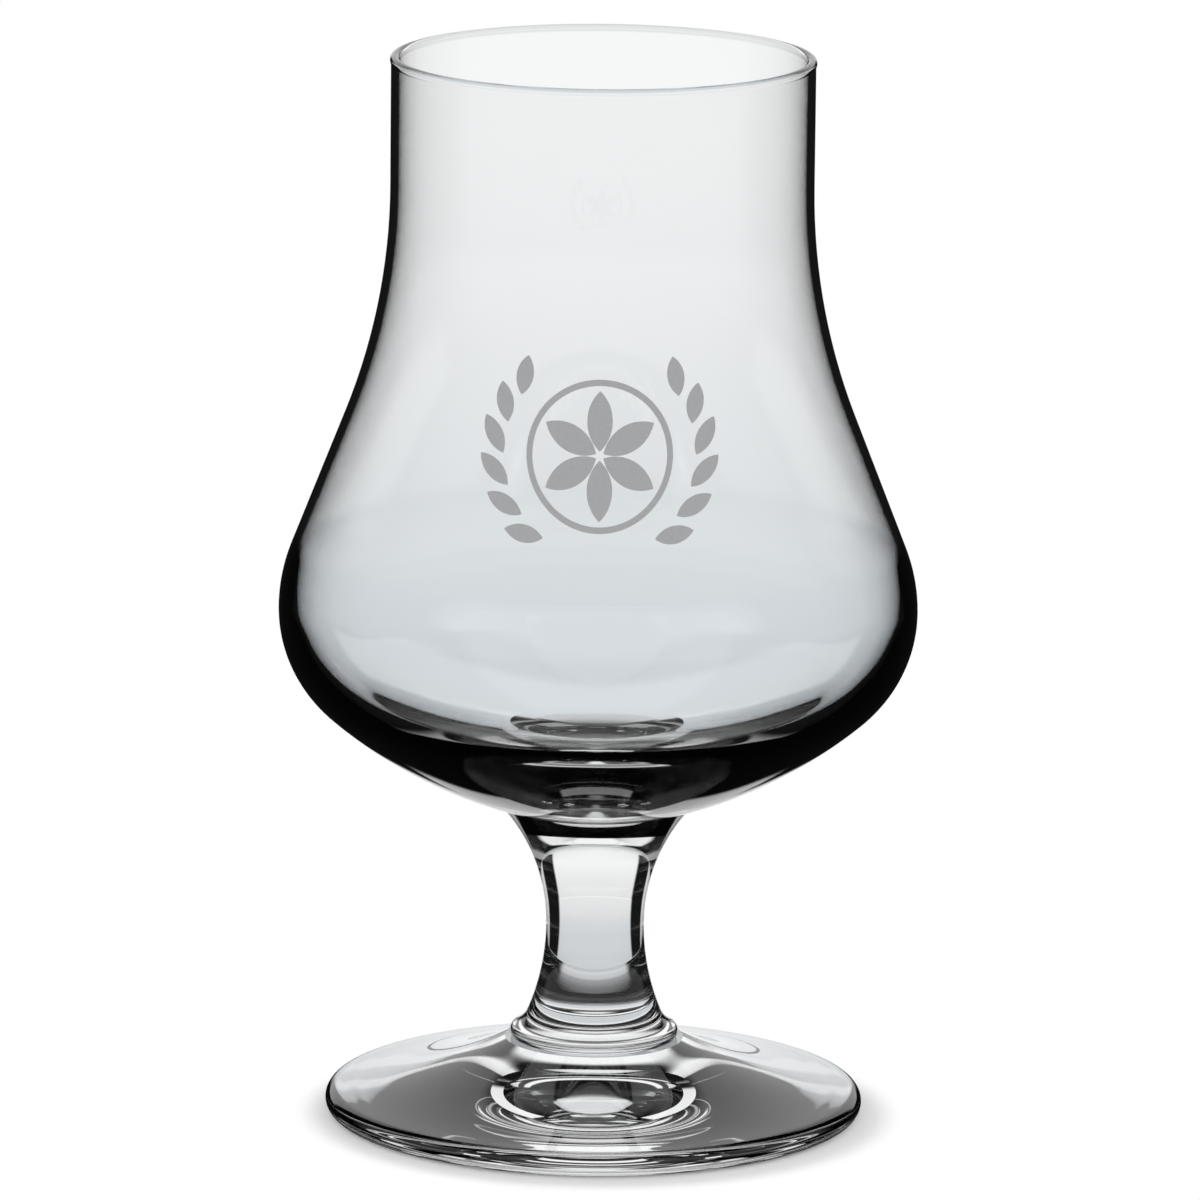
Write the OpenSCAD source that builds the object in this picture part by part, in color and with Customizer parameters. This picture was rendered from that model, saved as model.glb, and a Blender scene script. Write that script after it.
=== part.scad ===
/* [Overall] */
// Height from the table to the top of the lip
glass_h = 129.6; // [118:0.1:142]
// Outside diameter of the bowl at its widest
belly_d = 77; // [70:0.5:84]
// Height of the bowl's widest ring
belly_z = 62.3; // [58:0.1:68]
// Outside diameter of the straight mouth
mouth_d = 50.7; // [44:0.1:58]
// Length of the straight mouth, from the lip down
mouth_h = 15.6; // [8:0.1:24]

/* [Bowl wall] */
// Wall thickness in the straight mouth
wall_mouth = 0.95; // [0.8:0.05:1.4]
// How far the rounded lip stands out from the wall on each side
lip_bead = 0.12; // [0.05:0.01:0.3]
// Wall thickness at the widest ring
wall_belly = 1.56; // [1.2:0.02:2.4]
// Glass between the inside floor and the seat on the stem
floor_t = 6; // [5:0.1:8]
// How much higher the inside is widest than the outside
belly_rise = 1.5; // [0.5:0.1:2]
// Radius of the rounded corner between side wall and floor, inside
heel_in_r = 14.4; // [13:0.1:15.5]

/* [Bowl sweep] */
// Lean of the flank against the straight line from belly to mouth
flank_lean = 1.508; // [1.3:0.001:1.7]
// The same lean on the inside, where the wall grows towards the belly
flank_lean_in = 1.545; // [1.4:0.001:1.7]
// Share of the flank's rounding that the belly takes, the mouth takes the rest
belly_share = 0.21; // [0.15:0.01:0.4]
// Radius of the rounding under the widest ring
heel_r = 16.2; // [14:0.1:18]
// Radius of the shallow underside, from the heel to the stem
underside_r = 58.5; // [45:0.5:80]

/* [Stem] */
// Diameter of the stem at its waist
waist_d = 11.9; // [9:0.1:15]
// Height of the waist
waist_z = 23.3; // [22:0.1:25]
// Height of the flat seat between bowl and stem
bowl_seat_z = 38.3; // [36:0.1:40]
// Radius of the sweep from the waist up to the bowl
top_sweep_r = 22.1; // [20:0.1:30]
// Radius of the sweep from the waist down towards the foot
low_sweep_r = 28.2; // [24:0.1:40]
// Angle at which the tight flare over the foot takes over
flare_start = 22.5; // [15:0.5:26]
// Radius of the tight flare over the foot
flare_r = 3.5; // [3:0.1:4.5]
// Rounding of the stem's lower edge
stem_edge_r = 0.8; // [0.4:0.1:1]

/* [Foot] */
// Diameter of the foot
foot_d = 65.2; // [58:0.1:76]
// Thickness of the rounded edge of the foot
foot_edge_t = 3; // [2:0.1:4]
// Slope of the foot's top where it leaves the edge, in degrees
foot_edge_slope = 5; // [0:0.5:9]
// Height of the flat seat between stem and foot
foot_seat_z = 9.2; // [8.6:0.1:10]
// Ledge of the foot around the stem
foot_ledge = 0.6; // [0.3:0.1:1.5]
// Rise of the hollow under the foot
hollow_rise = 0.9; // [0.4:0.1:1.6]
// Width of the flat ring that the foot stands on
rest_w = 3.2; // [2:0.1:6]

/* [Printed ornament] */
// Height of the middle of the ornament
ornament_z = 87; // [84:0.5:92]
// Thickness of the fired print
print_t = 0.1; // [0.06:0.02:0.2]
// Outside radius of the ring around the rosette
ring_r = 8.6; // [7.8:0.1:9.4]
// Width of the ring's line
ring_line = 0.7; // [0.4:0.1:1]
// Length of a petal of the rosette
petal_l = 6.8; // [4:0.1:7]
// Width of a petal of the rosette
petal_w = 3; // [1.6:0.1:3.2]
// Length of a leaf of the side sprays
leaf_l = 4.6; // [3.6:0.1:4.8]
// Width of a leaf of the side sprays
leaf_w = 2; // [1.4:0.1:2.2]
// Leaves in each side spray
spray_leaves = 6; // [3:1:6]
// Gap between the ring and the middles of the leaves
spray_gap = 3.9; // [3.5:0.1:5]
// Half of the angle that a side spray covers
spray_half = 45; // [42:1:55]
// Tilt of the leaves away from the ring, in degrees
leaf_tilt = 35; // [25:1:45]

/* [Hidden] */
$fn = 96;

// Petals of the rosette, and the clear spot in its middle
petals = 6;
petal_start = 0.5;

// Steps of each round stretch of an outline
steps = 12;

belly_r = belly_d/2;
mouth_r = mouth_d/2;
mouth_z = glass_h - mouth_h;
lip_r = wall_mouth/2 + lip_bead;
lip_c = [mouth_r - wall_mouth/2, glass_h - lip_r];
lip_a = acos(wall_mouth/2/lip_r);

belly_in_r = belly_r - wall_belly;
belly_in_z = belly_z + belly_rise;
floor_z = bowl_seat_z + floor_t;

waist_r = waist_d/2;
top_sweep_a = asin((bowl_seat_z - waist_z)/top_sweep_r);
bowl_seat_r = waist_r + top_sweep_r*(1 - cos(top_sweep_a));

foot_r = foot_d/2;
edge_r = foot_edge_t/2;
rest_out_r = foot_r - edge_r;
rest_in_r = rest_out_r - rest_w;

// Points on an arc from angle a0 to angle a1, without the last one, where the next stretch starts
function arc(c, r, a0, a1, n = steps) =
    [for (i = [0:n - 1]) let (a = a0 + (a1 - a0)*i/n) [c[0] + r*cos(a), c[1] + r*sin(a)]];

function angle_to(from, to) = atan2(to[1] - from[1], to[0] - from[0]);

function backwards(points) = [for (i = [len(points) - 1:-1:0]) points[i]];

// Lean of the straight flank between a belly ring and a mouth ring
function flank_a(rb, zb, rm, zm, lean) = lean*atan((rb - rm)/(zm - zb));

// Radii of belly and mouth rounding together, for the flank to touch both
function flank_r(rb, zb, rm, zm, a) = (tan(a)*(zm - zb) - (rb - rm))/(1/cos(a) - 1);

// Flank from the widest ring up to the straight mouth: belly rounding, straight line, mouth sweep
function flank(rb, zb, rm, zm, lean) =
    let (a = flank_a(rb, zb, rm, zm, lean), r = flank_r(rb, zb, rm, zm, a))
    let (r_belly = r*belly_share, r_mouth = r - r_belly)
    concat(
        arc([rb - r_belly, zb], r_belly, 0, a),
        [[rb - r_belly*(1 - cos(a)), zb + r_belly*sin(a)]],
        arc([rm + r_mouth, zm], r_mouth, 180 + a, 180)
    );

// Centre of an arc of radius r that ends at point p and holds the circle at c of radius rc inside
function holding_centre(p, r, c, rc) =
    let (d = norm(p - c), t = ((r - rc)^2 - r^2 + d^2)/(2*d))
    let (h = sqrt((r - rc)^2 - t^2), u = (p - c)/d)
    c + t*u + h*[u[1], -u[0]];

// Outside of the bowl from the seat up to the widest ring
heel_c = [belly_r - heel_r, belly_z];
seat_edge = [bowl_seat_r, bowl_seat_z];
underside_c = holding_centre(seat_edge, underside_r, heel_c, heel_r);
heel_a = angle_to(underside_c, heel_c);
underside = concat(
    arc(underside_c, underside_r, angle_to(underside_c, seat_edge), heel_a),
    arc(heel_c, heel_r, heel_a, 0)
);
bowl_flank = flank(belly_r, belly_z, mouth_r, mouth_z, flank_lean);

// Inside of the bowl from the floor up to the widest ring
heel_in_c = [belly_in_r - heel_in_r, belly_in_z];
floor_drop = belly_in_z - floor_z;
floor_r = (heel_in_c[0]^2 + floor_drop^2 - heel_in_r^2)/(2*(floor_drop - heel_in_r));
floor_c = [0, floor_z + floor_r];
heel_in_a = angle_to(floor_c, heel_in_c);
floor_side = concat(
    arc(floor_c, floor_r, -90, heel_in_a),
    arc(heel_in_c, heel_in_r, heel_in_a, 0)
);
bowl_in_flank = flank(belly_in_r, belly_in_z, mouth_r - wall_mouth, mouth_z, flank_lean_in);

// Sweeps of the stem, from its lower edge up to the bowl
low_c = [waist_r + low_sweep_r, waist_z];
flare_c = low_c - (low_sweep_r - flare_r)*[cos(flare_start), sin(flare_start)];
stem_edge_z = foot_seat_z + stem_edge_r;
// The flare ends where it touches the rounded lower edge from outside
flare_end = asin((flare_c[1] - stem_edge_z)/(flare_r + stem_edge_r));
stem_edge_c = flare_c - (flare_r + stem_edge_r)*[cos(flare_end), sin(flare_end)];
stem_side = concat(
    arc(stem_edge_c, stem_edge_r, -90, flare_end),
    arc(flare_c, flare_r, 180 + flare_end, 180 + flare_start),
    arc(low_c, low_sweep_r, 180 + flare_start, 180),
    arc([waist_r + top_sweep_r, waist_z], top_sweep_r, 180, 180 - top_sweep_a)
);

// Top of the foot: one hollow sweep from the rounded edge to the ledge around the stem
foot_seat_r = stem_edge_c[0] + stem_edge_r + foot_ledge;
edge_top = [rest_out_r + edge_r*sin(foot_edge_slope), edge_r + edge_r*cos(foot_edge_slope)];
ledge = [foot_seat_r, foot_seat_z];
sweep_turn = angle_to(ledge, edge_top) + foot_edge_slope;
foot_sweep_r = norm(edge_top - ledge)/(2*sin(-sweep_turn));
foot_sweep_c = edge_top + foot_sweep_r*[sin(foot_edge_slope), cos(foot_edge_slope)];
hollow_r = (rest_in_r^2 + hollow_rise^2)/(2*hollow_rise);
hollow_c = [0, hollow_rise - hollow_r];

glass_colour = [0.80, 0.85, 0.87, 0.5];
print_colour = [0.65, 0.66, 0.67];

// Blown cup with a fire-polished lip
module bowl() {
    color(glass_colour)
    rotate_extrude()
    polygon(concat(
        [[0, bowl_seat_z]],
        underside,
        bowl_flank,
        arc(lip_c, lip_r, -lip_a, 180 + lip_a),
        backwards(bowl_in_flank),
        backwards(floor_side)
    ));
}

// Solid stem, drawn in at the waist and spread at both ends
module stem() {
    color(glass_colour)
    rotate_extrude()
    polygon(concat(
        [[0, foot_seat_z]],
        stem_side,
        [seat_edge, [0, bowl_seat_z]]
    ));
}

// Foot with a rounded edge, standing on a flat ring around a shallow hollow
module foot() {
    color(glass_colour)
    rotate_extrude()
    polygon(concat(
        backwards(arc(hollow_c, hollow_r, 90, angle_to(hollow_c, [rest_in_r, 0]))),
        [[0, foot_seat_z], ledge],
        arc(foot_sweep_c, foot_sweep_r, angle_to(foot_sweep_c, ledge), angle_to(foot_sweep_c, edge_top)),
        arc([rest_out_r, edge_r], edge_r, 90 - foot_edge_slope, -90),
        [[rest_out_r, 0], [rest_in_r, 0]]
    ));
}

// Pointed leaf along Y, drawn with two equal arcs
module leaf(length, width) {
    r = (length^2 + width^2)/(4*width);
    intersection() {
        translate([r - width/2, 0]) circle(r);
        translate([width/2 - r, 0]) circle(r);
    }
}

// Six-petalled rosette in a ring
module rosette() {
    difference() {
        circle(ring_r);
        circle(ring_r - ring_line);
    }
    for (i = [0:petals - 1])
        rotate(i*360/petals)
        translate([0, petal_start + petal_l/2])
        leaf(petal_l, petal_w);
}

// Row of leaves along the ring's right side
module spray() {
    for (i = [0:spray_leaves - 1])
        rotate(spray_half*(2*i/(spray_leaves - 1) - 1))
        translate([ring_r + spray_gap, 0])
        rotate(-leaf_tilt)
        leaf(leaf_l, leaf_w);
}

// Print on the front of the bowl, a thin skin on its outside
module printed_ornament() {
    color(print_colour)
    intersection() {
        rotate_extrude()
        polygon(concat(bowl_flank, [for (p = backwards(bowl_flank)) p + [print_t, 0]]));
        translate([0, 0, ornament_z])
        rotate([90, 0, 0])
        linear_extrude(belly_r + 1) {
            rosette();
            spray();
            mirror([1, 0]) spray();
        }
    }
}

bowl();
stem();
foot();
printed_ornament();
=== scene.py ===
# Tulip glass: blown bowl, pressed stem and foot, printed ornament. Metres, +Z up, front towards -Y
import math

import bpy
from mathutils import Matrix, Vector


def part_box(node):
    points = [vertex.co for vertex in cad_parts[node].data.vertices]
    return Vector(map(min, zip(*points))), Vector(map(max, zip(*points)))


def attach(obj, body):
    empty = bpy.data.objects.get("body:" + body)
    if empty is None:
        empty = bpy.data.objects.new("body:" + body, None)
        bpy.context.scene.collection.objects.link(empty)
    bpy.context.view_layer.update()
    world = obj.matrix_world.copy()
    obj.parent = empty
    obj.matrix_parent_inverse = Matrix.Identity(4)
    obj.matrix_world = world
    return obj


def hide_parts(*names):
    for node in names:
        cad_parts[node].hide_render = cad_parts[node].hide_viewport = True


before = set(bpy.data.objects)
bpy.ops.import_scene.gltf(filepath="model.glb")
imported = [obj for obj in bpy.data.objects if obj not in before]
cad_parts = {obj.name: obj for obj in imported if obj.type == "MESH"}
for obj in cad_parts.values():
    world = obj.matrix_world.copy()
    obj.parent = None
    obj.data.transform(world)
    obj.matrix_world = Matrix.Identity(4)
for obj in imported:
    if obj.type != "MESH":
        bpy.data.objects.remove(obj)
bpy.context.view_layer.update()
bowlLow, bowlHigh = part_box("bowl")
stemLow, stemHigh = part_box("stem")
footLow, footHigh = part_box("foot")
mm = 0.001
print("frame loaded")


# Shader wiring

class Wire:
    # a shader socket that takes part in plain arithmetic
    def __init__(self, tree, socket=None):
        self.tree = tree
        self.socket = socket

    def add(self, kind, settings=None, sockets=None, out=0):
        node = self.tree.nodes.new(kind)
        for key, value in (settings or {}).items():
            setattr(node, key, value)
        for key, value in (sockets or {}).items():
            if isinstance(value, Wire):
                self.tree.links.new(value.socket, node.inputs[key])
            else:
                node.inputs[key].default_value = value
        return Wire(self.tree, node.outputs[out])

    def maths(self, operation, first, second=0.0):
        return self.add("ShaderNodeMath", {"operation": operation}, {0: first, 1: second})

    def __add__(self, other):
        return self.maths("ADD", self, other)

    __radd__ = __add__

    def __mul__(self, other):
        return self.maths("MULTIPLY", self, other)

    __rmul__ = __mul__

    def __sub__(self, other):
        return self.maths("SUBTRACT", self, other)

    def __rsub__(self, other):
        return self.maths("SUBTRACT", other, self)

    def smooth(self, low, high):
        # 0 below low, 1 above high, eased between
        limits = {"Value": self, "From Min": low, "From Max": high}
        return self.add("ShaderNodeMapRange", {"interpolation_type": "SMOOTHSTEP"}, limits)

    def past(self, edge, soft):
        # 1 beyond the edge, which is soft to both sides
        return self.smooth(edge - soft, edge + soft)


def newMaterial(name):
    material = bpy.data.materials.new(name)
    material.use_nodes = True
    tree = material.node_tree
    tree.nodes.clear()
    return material, Wire(tree)


def setSurface(wire, shader):
    output = wire.tree.nodes.new("ShaderNodeOutputMaterial")
    wire.tree.links.new(shader.socket, output.inputs["Surface"])


def mixColours(wire, factor, first, second):
    return wire.add("ShaderNodeMix", {"data_type": "RGBA"}, {"Factor": factor, 6: first, 7: second}, 2)


# Materials

glassLook = {
    "tint": (0.992, 0.997, 0.999, 1),
    "tintDeep": (0.986, 0.993, 0.996, 1),
    "refraction": 1.5,
    "waveSize": 90.0,
    "waveDepth": 0.00002,
    "blown": 0.0,  # roughness of the bowl
    "pressed": 0.02,  # of the stem and foot
}


def makeGlass(name, roughness):
    material, wire = newMaterial(name)
    place = wire.add("ShaderNodeTexCoord", out=3)
    waves = wire.add("ShaderNodeTexNoise", sockets={
        "Vector": place, "Scale": glassLook["waveSize"], "Detail": 1.0})
    tint = mixColours(wire, waves, glassLook["tint"], glassLook["tintDeep"])
    bump = wire.add("ShaderNodeBump", sockets={
        "Height": waves, "Strength": 1.0, "Distance": glassLook["waveDepth"]})
    shader = wire.add("ShaderNodeBsdfPrincipled", sockets={
        "Base Color": tint, "Roughness": roughness, "IOR": glassLook["refraction"],
        "Transmission Weight": 1.0, "Normal": bump})
    setSurface(wire, shader)
    return material


def makeSeam():
    # the fused seats, where the glass runs on without a surface
    material, wire = newMaterial("fusedSeam")
    shader = wire.add("ShaderNodeBsdfPrincipled", sockets={"Base Color": (1, 1, 1, 1), "Alpha": 0.0})
    setSurface(wire, shader)
    return material


printLook = {
    "grey": (0.40, 0.405, 0.415, 1),
    "greyLight": (0.47, 0.475, 0.485, 1),
    "grain": 2600.0,
    "grainDepth": 0.00002,
    "grainBump": 0.3,
    "matt": 0.5,
    "mattSpread": 0.2,
}


def makePrint():
    material, wire = newMaterial("greyPrint")
    place = wire.add("ShaderNodeTexCoord", out=3)
    grain = wire.add("ShaderNodeTexNoise", sockets={
        "Vector": place, "Scale": printLook["grain"], "Detail": 2.0})
    colour = mixColours(wire, grain, printLook["grey"], printLook["greyLight"])
    bump = wire.add("ShaderNodeBump", sockets={
        "Height": grain, "Strength": printLook["grainBump"], "Distance": printLook["grainDepth"]})
    roughness = printLook["matt"] + printLook["mattSpread"]*grain
    shader = wire.add("ShaderNodeBsdfPrincipled", sockets={
        "Base Color": colour, "Roughness": roughness, "Normal": bump})
    setSurface(wire, shader)
    return material


blownGlass = makeGlass("blownGlass", glassLook["blown"])
pressedGlass = makeGlass("pressedGlass", glassLook["pressed"])
fusedSeam = makeSeam()
greyPrint = makePrint()
print("materials made")


# Outlines: points of (radius, height) in mm

def arcPoints(centre, radius, start, end, stepAngle=4.0):
    # without the last point, where the next stretch starts
    steps = max(2, math.ceil(abs(end - start)/stepAngle))
    points = []
    for i in range(steps):
        angle = math.radians(start + (end - start)*i/steps)
        points.append((centre[0] + radius*math.cos(angle), centre[1] + radius*math.sin(angle)))
    return points


def linePoints(start, end, steps):
    points = []
    for i in range(steps):
        points.append((start[0] + (end[0] - start[0])*i/steps, start[1] + (end[1] - start[1])*i/steps))
    return points


def angleTo(start, end):
    return math.degrees(math.atan2(end[1] - start[1], end[0] - start[0]))


def along(point, length, angle):
    turn = math.radians(angle)
    return (point[0] + length*math.cos(turn), point[1] + length*math.sin(turn))


bowlShape = {
    "height": bowlHigh.z/mm,
    "bellyR": bowlHigh.x/mm,
    "seatR": stemHigh.x/mm,
    "seatZ": bowlLow.z/mm,
    "bellyZ": 62.3,
    "mouthR": 25.35,
    "mouthH": 15.6,
    "wallMouth": 0.95,
    "lipBead": 0.12,
    "wallBelly": 1.56,
    "floorT": 6.0,
    "bellyRise": 1.5,
    "heelInR": 14.4,
    "flankLean": 1.508,
    "flankLeanIn": 1.545,
    "bellyShare": 0.21,
    "heelR": 16.2,
    "undersideR": 58.5,
}


def flankPoints(belly, mouth, flankLean):
    # belly rounding, straight flank and mouth sweep, from the widest ring up
    s = bowlShape
    rise = mouth[1] - belly[1]
    inset = belly[0] - mouth[0]
    lean = flankLean*math.atan(inset/rise)
    total = (math.tan(lean)*rise - inset)/(1/math.cos(lean) - 1)
    bellyR = total*s["bellyShare"]
    mouthR = total - bellyR
    bellyC = (belly[0] - bellyR, belly[1])
    mouthC = (mouth[0] + mouthR, mouth[1])
    leanDeg = math.degrees(lean)
    flankLow = along(bellyC, bellyR, leanDeg)
    flankHigh = along(mouthC, mouthR, 180 + leanDeg)
    return (arcPoints(bellyC, bellyR, 0, leanDeg, 2.0)
            + linePoints(flankLow, flankHigh, 8)
            + arcPoints(mouthC, mouthR, 180 + leanDeg, 180, 1.5)
            + linePoints(mouth, (mouth[0], s["height"] - 2), 8))


def bowlOutline():
    s = bowlShape
    neckZ = s["height"] - s["mouthH"]
    heelC = Vector((s["bellyR"] - s["heelR"], s["bellyZ"]))
    seat = Vector((s["seatR"], s["seatZ"]))
    # centre of the underside's arc, which ends at the seat and holds the heel's circle
    gap = (seat - heelC).length
    inner = s["undersideR"] - s["heelR"]
    reach = (inner**2 - s["undersideR"]**2 + gap**2)/(2*gap)
    side = math.sqrt(inner**2 - reach**2)
    way = (seat - heelC)/gap
    undersideC = heelC + reach*way + side*Vector((way.y, -way.x))
    heelA = angleTo(undersideC, heelC)
    outside = (linePoints((0, s["seatZ"]), tuple(seat), 8)
               + arcPoints(undersideC, s["undersideR"], angleTo(undersideC, seat), heelA, 1.0)
               + arcPoints(heelC, s["heelR"], heelA, 0, 2.0)
               + flankPoints((s["bellyR"], s["bellyZ"]), (s["mouthR"], neckZ), s["flankLean"]))
    lipR = s["wallMouth"]/2 + s["lipBead"]
    lipC = (s["mouthR"] - s["wallMouth"]/2, s["height"] - lipR)
    lipA = math.degrees(math.acos(s["wallMouth"]/2/lipR))
    lip = arcPoints(lipC, lipR, -lipA, 180 + lipA, 6.0)
    bellyInR = s["bellyR"] - s["wallBelly"]
    bellyInZ = s["bellyZ"] + s["bellyRise"]
    mouthInR = s["mouthR"] - s["wallMouth"]
    floorZ = s["seatZ"] + s["floorT"]
    heelInC = (bellyInR - s["heelInR"], bellyInZ)
    drop = bellyInZ - floorZ
    floorR = (heelInC[0]**2 + drop**2 - s["heelInR"]**2)/(2*(drop - s["heelInR"]))
    floorC = (0, floorZ + floorR)
    heelInA = angleTo(floorC, heelInC)
    inside = (arcPoints(floorC, floorR, -90, heelInA, 1.0)
              + arcPoints(heelInC, s["heelInR"], heelInA, 0, 2.0)
              + flankPoints((bellyInR, bellyInZ), (mouthInR, neckZ), s["flankLeanIn"]))
    return outside + lip + inside[::-1]


stemShape = {
    "topZ": stemHigh.z/mm,
    "bottomZ": stemLow.z/mm,
    "waistR": 5.95,
    "waistZ": 23.3,
    "topSweepR": 22.1,
    "lowSweepR": 28.2,
    "flareStart": 22.5,
    "flareR": 3.5,
    "edgeR": 0.8,
}


def stemEdge():
    # centres of the low sweep, the flare and the rounded lower edge, and where the flare ends
    s = stemShape
    lowC = (s["waistR"] + s["lowSweepR"], s["waistZ"])
    flareC = along(lowC, s["flareR"] - s["lowSweepR"], s["flareStart"])
    edgeZ = s["bottomZ"] + s["edgeR"]
    flareEnd = math.degrees(math.asin((flareC[1] - edgeZ)/(s["flareR"] + s["edgeR"])))
    edgeC = along(flareC, -s["flareR"] - s["edgeR"], flareEnd)
    return lowC, flareC, edgeC, flareEnd


def stemOutline():
    s = stemShape
    lowC, flareC, edgeC, flareEnd = stemEdge()
    topC = (s["waistR"] + s["topSweepR"], s["waistZ"])
    topA = math.degrees(math.asin((s["topZ"] - s["waistZ"])/s["topSweepR"]))
    seat = along(topC, s["topSweepR"], 180 - topA)
    return (linePoints((0, s["bottomZ"]), (edgeC[0], s["bottomZ"]), 8)
            + arcPoints(edgeC, s["edgeR"], -90, flareEnd, 6.0)
            + arcPoints(flareC, s["flareR"], 180 + flareEnd, 180 + s["flareStart"], 3.0)
            + arcPoints(lowC, s["lowSweepR"], 180 + s["flareStart"], 180, 1.5)
            + arcPoints(topC, s["topSweepR"], 180, 180 - topA, 1.5)
            + linePoints(seat, (0, s["topZ"]), 8) + [(0, s["topZ"])])


footShape = {
    "outR": footHigh.x/mm,
    "seatZ": footHigh.z/mm,
    "edgeT": 3.0,
    "edgeSlope": 5.0,
    "ledge": 0.6,
    "hollowRise": 0.9,
    "restW": 3.2,
}


def footOutline():
    s = footShape
    contactR = stemEdge()[2][0]
    edgeR = s["edgeT"]/2
    restOutR = s["outR"] - edgeR
    restInR = restOutR - s["restW"]
    edgeC = (restOutR, edgeR)
    edgeTop = along(edgeC, edgeR, 90 - s["edgeSlope"])
    ledge = (contactR + stemShape["edgeR"] + s["ledge"], s["seatZ"])
    turn = -angleTo(ledge, edgeTop) - s["edgeSlope"]
    chord = math.hypot(edgeTop[0] - ledge[0], edgeTop[1] - ledge[1])
    sweepR = chord/(2*math.sin(math.radians(turn)))
    sweepC = along(edgeTop, sweepR, 90 - s["edgeSlope"])
    hollowR = (restInR**2 + s["hollowRise"]**2)/(2*s["hollowRise"])
    hollowC = (0, s["hollowRise"] - hollowR)
    hollow = arcPoints(hollowC, hollowR, 90, angleTo(hollowC, (restInR, 0)), 0.4)
    top = (linePoints((0, s["seatZ"]), (contactR, s["seatZ"]), 8)
           + linePoints((contactR, s["seatZ"]), ledge, 3)
           + arcPoints(sweepC, sweepR, angleTo(sweepC, ledge), angleTo(sweepC, edgeTop), 1.0)
           + arcPoints(edgeC, edgeR, 90 - s["edgeSlope"], -90, 5.0)
           + linePoints((restOutR, 0), (restInR, 0), 4))
    return top + [(restInR, 0)] + hollow[::-1]


# Lathe work

lathe = {"turns": 224, "weld": 1e-7, "edgeAngle": 14.0, "seatSlack": 1e-6}


def turnOutline(name, outline):
    bpy.ops.object.select_all(action="DESELECT")
    bpy.ops.mesh.primitive_plane_add(size=mm)
    piece = bpy.context.object
    piece.name = name
    piece.data.name = name
    bpy.ops.object.mode_set(mode="EDIT")
    bpy.ops.mesh.select_all(action="SELECT")
    bpy.ops.mesh.merge(type="CENTER")
    bpy.ops.transform.translate(value=(outline[0][0]*mm, 0, outline[0][1]*mm))
    for last, point in zip(outline, outline[1:]):
        step = ((point[0] - last[0])*mm, 0, (point[1] - last[1])*mm)
        bpy.ops.mesh.extrude_region_move(TRANSFORM_OT_translate={"value": step})
    bpy.ops.mesh.select_all(action="SELECT")
    bpy.ops.mesh.spin(steps=lathe["turns"], angle=2*math.pi, center=(0, 0, 0), axis=(0, 0, 1))
    bpy.ops.mesh.select_all(action="SELECT")
    bpy.ops.mesh.remove_doubles(threshold=lathe["weld"])
    bpy.ops.mesh.normals_make_consistent(inside=False)
    bpy.ops.object.mode_set(mode="OBJECT")
    bpy.ops.object.shade_smooth_by_angle(angle=math.radians(lathe["edgeAngle"]))
    print(name, "turned:", len(piece.data.polygons), "faces")
    return piece


def dressGlass(piece, node, glass, seats):
    # seats: (height, radius) of the flat seats that are fused to the next piece
    piece.data.materials.append(glass)
    piece.data.materials.append(fusedSeam)
    for face in piece.data.polygons:
        for height, radius in seats:
            level = abs(face.center.z - height*mm) < lathe["seatSlack"]
            if level and face.center.xy.length < radius*mm:
                face.material_index = 1
    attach(piece, "root")
    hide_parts(node)


bowlGlass = turnOutline("bowlGlass", bowlOutline())
dressGlass(bowlGlass, "bowl", blownGlass, [(bowlShape["seatZ"], bowlShape["seatR"])])
stemGlass = turnOutline("stemGlass", stemOutline())
lowSeatR = stemEdge()[2][0]
dressGlass(stemGlass, "stem", pressedGlass, [
    (stemShape["topZ"], bowlShape["seatR"]), (stemShape["bottomZ"], lowSeatR)])
footGlass = turnOutline("footGlass", footOutline())
dressGlass(footGlass, "foot", pressedGlass, [(footShape["seatZ"], lowSeatR)])

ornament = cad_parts["printed_ornament"]
ornament.data.materials.clear()
ornament.data.materials.append(greyPrint)
print("pieces dressed")


# Studio

floorLook = {
    # the sheet itself and the shadow under the foot, as the camera sees them
    "radius": 0.9, "drop": 0.00005, "paper": (0.92, 0.92, 0.92, 1), "lift": 0.14,
    "fadeIn": 0.033, "fadeOut": 0.0372, "fadeRight": 0.0006, "fadeFront": 0.0014,
    # through both bowl walls, with the painted shade towards the foot
    "footR": 0.036, "footSoft": 0.003,
    "shade": (0.255, 0.215, 0.185), "shadeFull": 0.09, "shadeEnd": 0.75,
    "lensHalf": 23.0, "lensIn": 0.008, "lensOut": 0.04,
    # through one wall, with painted shade nearer the foot
    "waist": 0.025, "slopeLow": 0.02, "slopeHigh": 0.35, "rimR": 0.365, "rimSoft": 0.02,
    "once": 0.86, "onceEnd": 0.7, "onceSoft": 0.08, "onceNear": 0.1, "onceIn": 0.03, "onceOut": 0.06,
    # painted reflection of a white sheet behind the glass
    "sheetHalf": 0.036, "sheetSoft": 0.004, "sheetAngle": 32.0,
    "farAngle": 20.0, "farIn": 0.072, "farOut": 0.08,
    "sheetFront": -0.043, "frontSoft": 0.003, "sheetBack": 0.06, "backSoft": 0.01, "sheetInside": 0.4,
    # painted reflections of the floor in front and of a ring round the foot
    "frontFull": -0.05, "frontEnd": 0.09, "front": 0.4,
    "ringIn": 0.075, "ringInSoft": 0.01, "ringOut": 0.13, "ringOutSoft": 0.02, "ring": 0.6,
    "ringAngle": 75.0, "ringTurnSoft": 10.0,
    # painted light under the foot, in reflections
    "glowIn": 0.014, "glowOut": 0.04, "glowSoft": 0.002, "glowAngle": 14.0, "glow": 0.8,
    "wedgeAngle": 3.5, "wedgeSoft": 2.0, "wedge": 0.85,
    "sideFrom": 92.0, "sideTo": 115.0, "sideIn": 0.026, "sideOut": 0.03,
}
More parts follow.
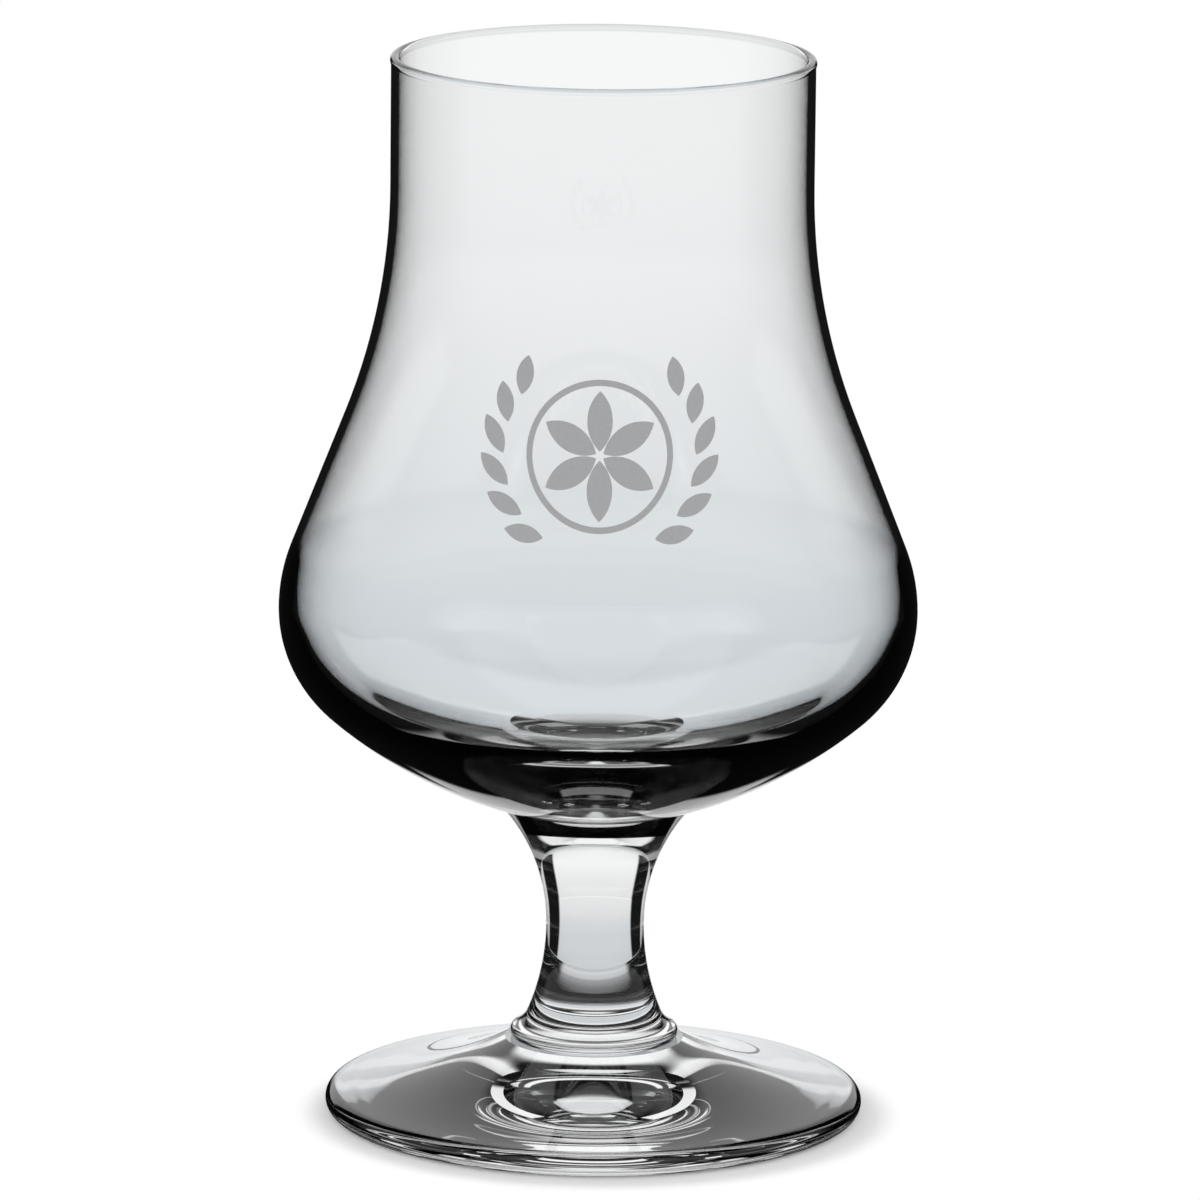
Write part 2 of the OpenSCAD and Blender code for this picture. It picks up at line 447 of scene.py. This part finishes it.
skyLook = {
    "fill": 0.88, "dark": 0.008,
    # white panels, through the glass
    "panelHalf": 33.0, "panelEdge": 3.0, "panelTop": 35.0, "whiteFrom": 100.0,
    "low": 0.85, "lowFrom": -2.0, "lowTo": 20.0,
    # white board behind the glass, in reflections
    "boardLow": -4.0, "boardTop": 40.0, "boardFull": 5.0, "boardFoot": 12.0, "insideHalf": 34.0,
    "shallowLow": 4.0, "shallowTop": 27.0, "gapLow": 14.5, "gapTop": 21.5, "lineSoft": 1.0,
    "deepLow": 8.0, "deepTop": 38.0, "topSoft": 3.0,
    # lamp overhead and the room round the glass
    "lampLow": 52.0, "lampFront": -0.21, "lampSoft": 0.03, "lampOutside": 0.2,
    "roomFrom": 64.0, "roomSoft": 8.0, "room": 0.45,
}


def lightPath(wire, *names):
    node = wire.tree.nodes.new("ShaderNodeLightPath")
    return [Wire(wire.tree, node.outputs[name]) for name in names]


def splitVector(wire, vector):
    node = wire.tree.nodes.new("ShaderNodeSeparateXYZ")
    wire.tree.links.new(vector.socket, node.inputs[0])
    return [Wire(wire.tree, socket) for socket in node.outputs]


def awayFromBack(wire, x, y):
    return wire.maths("ABSOLUTE", wire.maths("ARCTAN2", x, y))


def below(turn, angle, soft=3.0):
    # 1 within the given angle of straight behind the glass
    return 1.0 - turn.smooth(math.radians(angle - soft), math.radians(angle + soft))


def panelMask(wire, x, y):
    # four white panels round the glass, with dark gaps between, and all white in front
    wave = wire.maths("COSINE", 4.0*wire.maths("ARCTAN2", y, x))
    inner = math.cos(math.radians(4*(skyLook["panelHalf"] - skyLook["panelEdge"]/2)))
    outer = math.cos(math.radians(4*(skyLook["panelHalf"] + skyLook["panelEdge"]/2)))
    inFront = 1.0 - below(awayFromBack(wire, x, y), skyLook["whiteFrom"])
    return wire.maths("MAXIMUM", wave.smooth(outer, inner), inFront)


def pathKinds(wire):
    # seen by the camera, in glass at all, mirrored outside, once or more often inside,
    # through both bowl walls, and last met by the bowl's sharp glass
    camera, glossy, through, mirrors, crossings, sharp = lightPath(
        wire, "Is Camera Ray", "Is Glossy Ray", "Is Transmission Ray",
        "Glossy Depth", "Transmission Depth", "Is Singular Ray")
    inGlass = wire.maths("MINIMUM", glossy + through, 1.0)
    mirrored = wire.maths("GREATER_THAN", mirrors, 0.5)
    entered = wire.maths("GREATER_THAN", crossings, 0.5)
    often = wire.maths("GREATER_THAN", crossings, 2.5)
    many = wire.maths("MAXIMUM", often, wire.maths("GREATER_THAN", mirrors, 1.5))
    outside = mirrored*(1.0 - entered)
    shallow = mirrored*entered*(1.0 - many)
    deep = mirrored*entered*many
    return camera, inGlass, outside, shallow, deep, often*(1.0 - mirrored), sharp


def paperSeen(wire, camera, x, y):
    # near the foot the paper takes the shadow, farther out it is plain white
    look = floorLook
    diffuse = wire.add("ShaderNodeBsdfDiffuse", sockets={"Color": look["paper"]})
    lift = wire.add("ShaderNodeEmission", sockets={"Strength": camera*look["lift"]})
    lit = wire.add("ShaderNodeAddShader", sockets={0: diffuse, 1: lift})
    white = wire.add("ShaderNodeEmission", sockets={"Strength": 1.0})
    aside = x - look["fadeRight"]
    fore = y + look["fadeFront"]
    spread = wire.maths("SQRT", aside*aside + fore*fore)
    fade = camera*spread.smooth(look["fadeIn"], look["fadeOut"])
    return wire.add("ShaderNodeMixShader", sockets={0: fade, 1: lit, 2: white})


def paperShadeThroughGlass(wire, thin, radius):
    # painted shade: through the glass the paper is painted grey-blue, darker towards the foot
    look = floorLook
    shaded = tuple(1 - share for share in look["shade"]) + (1,)
    slope = wire.maths("DIVIDE", look["waist"], radius)
    far = thin*radius.smooth(look["shadeFull"], look["shadeEnd"])
    far = far + (1.0 - thin)*(1.0 - slope.smooth(look["slopeLow"], look["slopeHigh"]))
    return mixColours(wire, far, shaded, (1, 1, 1, 1))


def paperThrough(wire, thin, sharp, x, y, radius, pastFoot):
    # painted light and shade: how bright the paper is through the glass, with painted dark gaps at the
    # corners and painted shade near the foot
    look = floorLook
    turn = awayFromBack(wire, x, y)
    lens = below(turn, look["lensHalf"])*radius.smooth(look["lensIn"], look["lensOut"])
    lens = wire.maths("MAXIMUM", pastFoot, lens)
    plain = wire.maths("MAXIMUM", panelMask(wire, x, y), 1.0 - pastFoot)
    rim = sharp*(1.0 - radius.smooth(look["rimR"], look["rimR"] + look["rimSoft"]))
    plain = wire.maths("MAXIMUM", plain, rim)
    once = look["once"]
    plain = plain*(once + (1.0 - once)*radius.smooth(look["onceEnd"], look["onceEnd"] + look["onceSoft"]))
    plain = plain*(1.0 - look["onceNear"]*(1.0 - radius.smooth(look["onceIn"], look["onceOut"])))
    return thin*lens + (1.0 - thin)*plain


def paperPaintedReflections(wire, outside, shallow, deep, x, y, radius, pastFoot):
    # painted reflection: in reflections the paper shows a white sheet painted on a dark surround
    look = floorLook
    turn = awayFromBack(wire, x, y)
    strip = 1.0 - wire.maths("ABSOLUTE", x).past(look["sheetHalf"], look["sheetSoft"])
    outer = radius.smooth(look["farIn"], look["farOut"])
    farSheet = outer*below(turn, look["farAngle"]) + (1.0 - outer)*below(turn, look["sheetAngle"])
    farSheet = farSheet*strip
    nearSheet = strip*y.past(look["sheetFront"], look["frontSoft"])
    nearSheet = nearSheet*(1.0 - y.past(look["sheetBack"], look["backSoft"]))*look["sheetInside"]
    ring = radius.past(look["ringIn"], look["ringInSoft"])
    ring = ring*(1.0 - radius.past(look["ringOut"], look["ringOutSoft"]))*look["ring"]
    ring = ring*below(turn, look["ringAngle"], look["ringTurnSoft"])
    front = (1.0 - y.smooth(look["frontFull"], look["frontEnd"]))*look["front"]
    around = wire.maths("MAXIMUM", nearSheet, wire.maths("MAXIMUM", ring, front))
    # painted light under the foot
    disc = radius.past(look["glowIn"], look["glowSoft"])
    disc = disc*(1.0 - radius.past(look["glowOut"], look["glowSoft"]))
    glow = disc*below(turn, look["glowAngle"])*look["glow"]
    wedge = disc*below(turn, look["wedgeAngle"], look["wedgeSoft"])*look["wedge"]
    side = below(turn, look["sideTo"])*(1.0 - below(turn, look["sideFrom"]))
    side = disc*side*(1.0 - radius.smooth(look["sideIn"], look["sideOut"]))
    around = wire.maths("MAXIMUM", around*pastFoot, wedge)
    return outside*farSheet + shallow*(nearSheet*pastFoot + glow) + deep*(around + side)


def makePaper():
    material, wire = newMaterial("whitePaper")
    camera, inGlass, outside, shallow, deep, thin, sharp = pathKinds(wire)
    place = wire.add("ShaderNodeTexCoord", out=3)
    x, y = splitVector(wire, place)[:2]
    radius = wire.add("ShaderNodeVectorMath", {"operation": "LENGTH"}, {0: place}, 1)
    pastFoot = radius.smooth(floorLook["footR"], floorLook["footR"] + floorLook["footSoft"])
    seen = paperSeen(wire, camera, x, y)
    clear = paperThrough(wire, thin, sharp, x, y, radius, pastFoot)*(1.0 - outside - shallow - deep)
    level = paperPaintedReflections(wire, outside, shallow, deep, x, y, radius, pastFoot) + clear
    # the tint is painted shade on the paper seen through the glass
    tint = mixColours(wire, clear, (1, 1, 1, 1), paperShadeThroughGlass(wire, thin, radius))
    strength = skyLook["dark"] + (1.0 - skyLook["dark"])*level
    shown = wire.add("ShaderNodeEmission", sockets={"Color": tint, "Strength": strength})
    setSurface(wire, wire.add("ShaderNodeMixShader", sockets={0: inGlass, 1: seen, 2: shown}))
    return material


bpy.ops.object.select_all(action="DESELECT")
bpy.ops.mesh.primitive_circle_add(vertices=128, radius=floorLook["radius"], fill_type="NGON")
paper = bpy.context.object
paper.name = "paper"
for corner in paper.data.vertices:
    corner.co.z = -floorLook["drop"]
paper.data.materials.append(makePaper())


def sineOf(angle):
    return math.sin(math.radians(angle))


def band(z, angle, soft=2.0):
    # 1 above the given angle over the horizon
    return z.smooth(sineOf(angle - soft), sineOf(angle + soft))


def makeSky():
    world = bpy.data.worlds.new("studio")
    bpy.context.scene.world = world
    world.use_nodes = True
    tree = world.node_tree
    tree.nodes.clear()
    wire = Wire(tree)
    camera, inGlass, outside, shallow, deep, thin, sharp = pathKinds(wire)
    x, y, z = splitVector(wire, wire.add("ShaderNodeTexCoord", out=0))
    turn = awayFromBack(wire, x, y)
    clear = panelMask(wire, x, y)*(1.0 - band(z, skyLook["panelTop"]))
    lift = z.smooth(sineOf(skyLook["lowFrom"]), sineOf(skyLook["lowTo"]))
    clear = clear*(skyLook["low"] + (1.0 - skyLook["low"])*lift)
    clear = wire.maths("MAXIMUM", clear, thin)*(1.0 - outside - shallow - deep)
    # reflections show a white board behind the glass and a soft lamp overhead
    board = below(turn, skyLook["panelHalf"])*band(z, skyLook["boardFull"])
    board = wire.maths("MAXIMUM", board, below(turn, skyLook["boardFoot"]))
    room = (1.0 - below(turn, skyLook["roomFrom"], skyLook["roomSoft"]))*skyLook["room"]
    boardBand = band(z, skyLook["boardLow"])*(1.0 - band(z, skyLook["boardTop"], skyLook["topSoft"]))
    high = wire.maths("MAXIMUM", board*boardBand, room*boardBand)
    wide = below(turn, skyLook["insideHalf"])
    # a dark gap across the board, for the pressed stem and foot only
    gap = band(z, skyLook["gapLow"], skyLook["lineSoft"])
    gap = gap*(1.0 - band(z, skyLook["gapTop"], skyLook["lineSoft"]))
    low = wide*band(z, skyLook["shallowLow"])*(1.0 - band(z, skyLook["shallowTop"], skyLook["lineSoft"]))
    low = low*(1.0 - gap*(1.0 - sharp))
    inner = wide*band(z, skyLook["deepLow"])*(1.0 - band(z, skyLook["deepTop"], skyLook["topSoft"]))
    lamp = band(z, skyLook["lampLow"], skyLook["topSoft"])*y.past(skyLook["lampFront"], skyLook["lampSoft"])
    level = outside*wire.maths("MAXIMUM", high, lamp*skyLook["lampOutside"]) + clear
    level = level + shallow*wire.maths("MAXIMUM", low, lamp) + deep*wire.maths("MAXIMUM", inner, lamp)
    shown = skyLook["dark"] + (1.0 - skyLook["dark"])*level
    strength = camera + (1.0 - camera)*(inGlass*shown + (1.0 - inGlass)*skyLook["fill"])
    background = wire.add("ShaderNodeBackground", sockets={"Color": (1, 1, 1, 1), "Strength": strength})
    output = tree.nodes.new("ShaderNodeOutputWorld")
    tree.links.new(background.socket, output.inputs["Surface"])


makeSky()

photoCamera = {
    "distance": 1.239, "elevation": 12.0, "aim": (0.00021, 0, 0.06332), "about": 0.064,
    "focalPixels": 10283.0, "framePixels": 1200.0, "roll": 0.582,
}


def makeCamera():
    c = photoCamera
    data = bpy.data.cameras.new("photoCamera")
    data.sensor_width = 36.0
    data.lens = c["focalPixels"]/c["framePixels"]*data.sensor_width
    data.clip_end = 10.0
    camera = bpy.data.objects.new("photoCamera", data)
    bpy.context.scene.collection.objects.link(camera)
    tilt = math.radians(c["elevation"])
    place = Vector((0, -c["distance"]*math.cos(tilt), c["about"] + c["distance"]*math.sin(tilt)))
    look = (Vector(c["aim"]) - place).to_track_quat("-Z", "Y").to_matrix().to_4x4()
    roll = Matrix.Rotation(math.radians(c["roll"]), 4, "Z")
    camera.matrix_world = Matrix.Translation(place) @ look @ roll
    bpy.context.scene.camera = camera


makeCamera()
bpy.context.scene.view_settings.view_transform = "Standard"
print("studio set")
